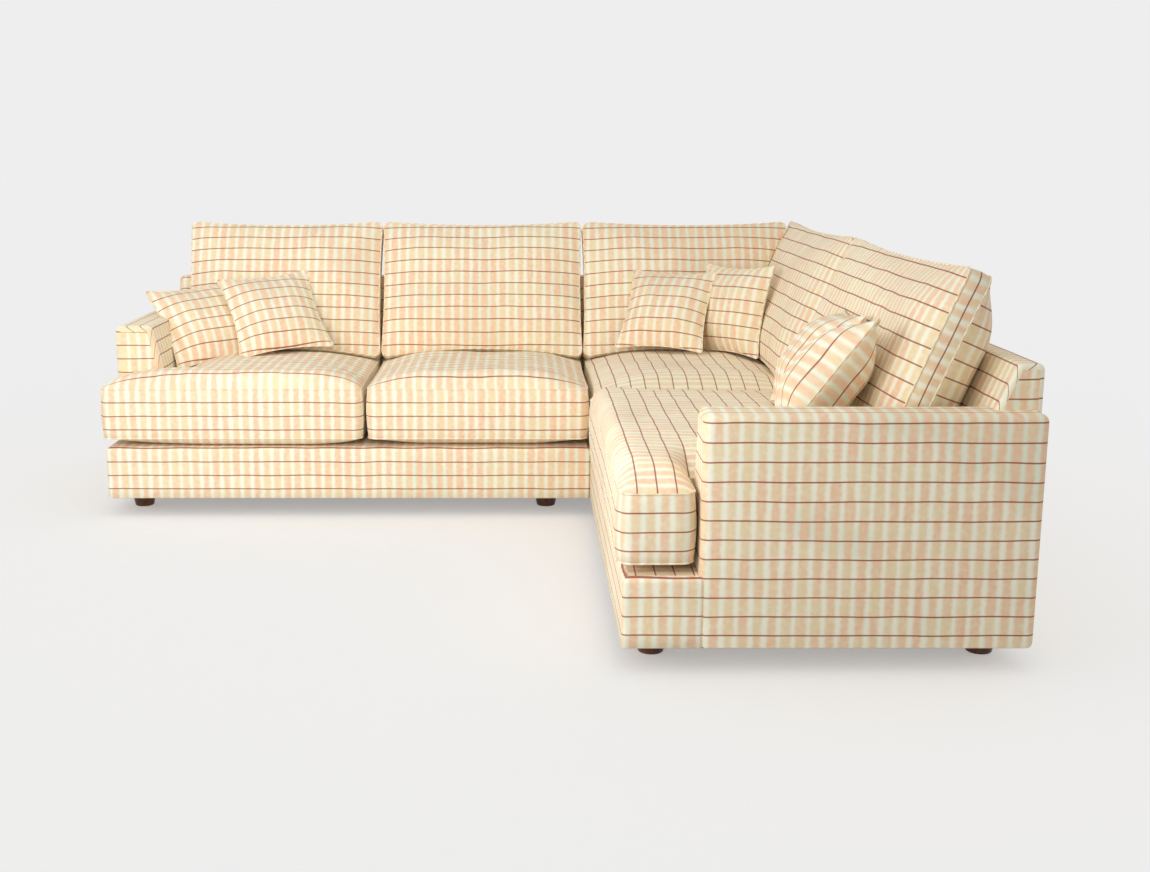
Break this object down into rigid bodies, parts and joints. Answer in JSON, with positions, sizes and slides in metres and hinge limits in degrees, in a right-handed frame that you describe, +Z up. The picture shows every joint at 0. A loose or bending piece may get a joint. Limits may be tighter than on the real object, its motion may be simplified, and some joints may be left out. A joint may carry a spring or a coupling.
{
  "type": "corner sofa",
  "caption": "L-shaped corner sofa: upholstered plinth, flared set-back arms, raked low back, loose boxed seat and back cushions, knife-edge scatter cushions and short tapered feet.",
  "frame": {"origin": "on the floor, under the middle of the bounding box", "axes": "+X to the right of someone facing the sofa, along the long run; +Y to the rear; +Z up"},
  "size_m": [2.687, 2.492, 0.9654],
  "materials": {
    "tight_cover": "woven cotton, printed check with dark stripes",
    "cushion_casing": "woven cotton, printed check with dark stripes",
    "scatter_casing": "woven cotton, printed check with dark stripes",
    "cushion_fill": "fibre and foam",
    "padding": "foam",
    "webbing": "woven elastic",
    "dust_cloth": "spun cloth",
    "timber": "sawn, unfinished",
    "foot_wood": "turned, dark stain, satin",
    "steel": "zinc plated"
  },
  "bodies": {
    "frame": {"left_arm_cover": "tight_cover", "end_arm_cover": "tight_cover", "left_arm_padding": "padding", "end_arm_padding": "padding", "long_back_cover": "tight_cover", "return_back_cover": "tight_cover", "long_back_padding": "padding", "return_back_padding": "padding", "long_plinth_cover": "tight_cover", "return_plinth_cover": "tight_cover", "bracket_hooks": "steel", "bracket_plates": "steel", "bracket_screws": "steel", "long_base_rails": "timber", "return_base_rails": "timber", "seat_springs": "steel", "spring_clips": "steel", "left_arm_frame": "timber", "end_arm_frame": "timber", "long_back_frame": "timber", "return_back_frame": "timber", "back_webbing": "webbing", "feet": "foot_wood", "foot_bolts": "steel", "tee_nuts": "steel", "corner_blocks": "timber", "dust_covers": "dust_cloth"},
    "seat_left": {"seat_left_casing": "cushion_casing", "seat_left_fill": "cushion_fill"},
    "seat_middle": {"seat_middle_casing": "cushion_casing", "seat_middle_fill": "cushion_fill"},
    "seat_corner": {"seat_corner_casing": "cushion_casing", "seat_corner_fill": "cushion_fill"},
    "seat_end": {"seat_end_casing": "cushion_casing", "seat_end_fill": "cushion_fill"},
    "back_left": {"back_left_casing": "cushion_casing", "back_left_fill": "cushion_fill"},
    "back_middle": {"back_middle_casing": "cushion_casing", "back_middle_fill": "cushion_fill"},
    "back_corner_side": {"back_corner_side_casing": "cushion_casing", "back_corner_side_fill": "cushion_fill"},
    "back_corner_rear": {"back_corner_rear_casing": "cushion_casing", "back_corner_rear_fill": "cushion_fill"},
    "back_end": {"back_end_casing": "cushion_casing", "back_end_fill": "cushion_fill"},
    "scatter_arm": {"scatter_arm_casing": "scatter_casing", "scatter_arm_fill": "cushion_fill"},
    "scatter_left": {"scatter_left_casing": "scatter_casing", "scatter_left_fill": "cushion_fill"},
    "scatter_side": {"scatter_side_casing": "scatter_casing", "scatter_side_fill": "cushion_fill"},
    "scatter_corner": {"scatter_corner_casing": "scatter_casing", "scatter_corner_fill": "cushion_fill"},
    "scatter_far": {"scatter_far_casing": "scatter_casing", "scatter_far_fill": "cushion_fill"},
    "scatter_near": {"scatter_near_casing": "scatter_casing", "scatter_near_fill": "cushion_fill"}
  },
  "joints": [
    {"name": "seat_left_lift", "type": "slide", "parent": "frame", "child": "seat_left", "axis": [0, 0, 1], "range_m": [0, 0.35]},
    {"name": "seat_middle_lift", "type": "slide", "parent": "frame", "child": "seat_middle", "axis": [0, 0, 1], "range_m": [0, 0.35]},
    {"name": "seat_corner_lift", "type": "slide", "parent": "frame", "child": "seat_corner", "axis": [0, 0, 1], "range_m": [0, 0.35]},
    {"name": "seat_end_lift", "type": "slide", "parent": "frame", "child": "seat_end", "axis": [0, 0, 1], "range_m": [0, 0.35]},
    {"name": "back_left_lift", "type": "slide", "parent": "seat_left", "child": "back_left", "axis": [0, 0, 1], "range_m": [0, 0.3]},
    {"name": "back_middle_lift", "type": "slide", "parent": "seat_middle", "child": "back_middle", "axis": [0, 0, 1], "range_m": [0, 0.3]},
    {"name": "back_corner_side_lift", "type": "slide", "parent": "seat_corner", "child": "back_corner_side", "axis": [0, 0, 1], "range_m": [0, 0.3]},
    {"name": "back_corner_rear_lift", "type": "slide", "parent": "back_corner_side", "child": "back_corner_rear", "axis": [0, 0, 1], "range_m": [0, 0.3]},
    {"name": "back_end_lift", "type": "slide", "parent": "seat_end", "child": "back_end", "axis": [0, 0, 1], "range_m": [0, 0.3]},
    {"name": "scatter_arm_lift", "type": "slide", "parent": "back_left", "child": "scatter_arm", "axis": [0, 0, 1], "range_m": [0, 0.45]},
    {"name": "scatter_left_lift", "type": "slide", "parent": "scatter_arm", "child": "scatter_left", "axis": [0, 0, 1], "range_m": [0, 0.45]},
    {"name": "scatter_side_lift", "type": "slide", "parent": "back_corner_rear", "child": "scatter_side", "axis": [0, 0, 1], "range_m": [0, 0.45]},
    {"name": "scatter_corner_lift", "type": "slide", "parent": "scatter_side", "child": "scatter_corner", "axis": [0, 0, 1], "range_m": [0, 0.45]},
    {"name": "scatter_far_lift", "type": "slide", "parent": "back_end", "child": "scatter_far", "axis": [0, 0, 1], "range_m": [0, 0.45]},
    {"name": "scatter_near_lift", "type": "slide", "parent": "scatter_far", "child": "scatter_near", "axis": [0, 0, 1], "range_m": [0, 0.45]}
  ]
}
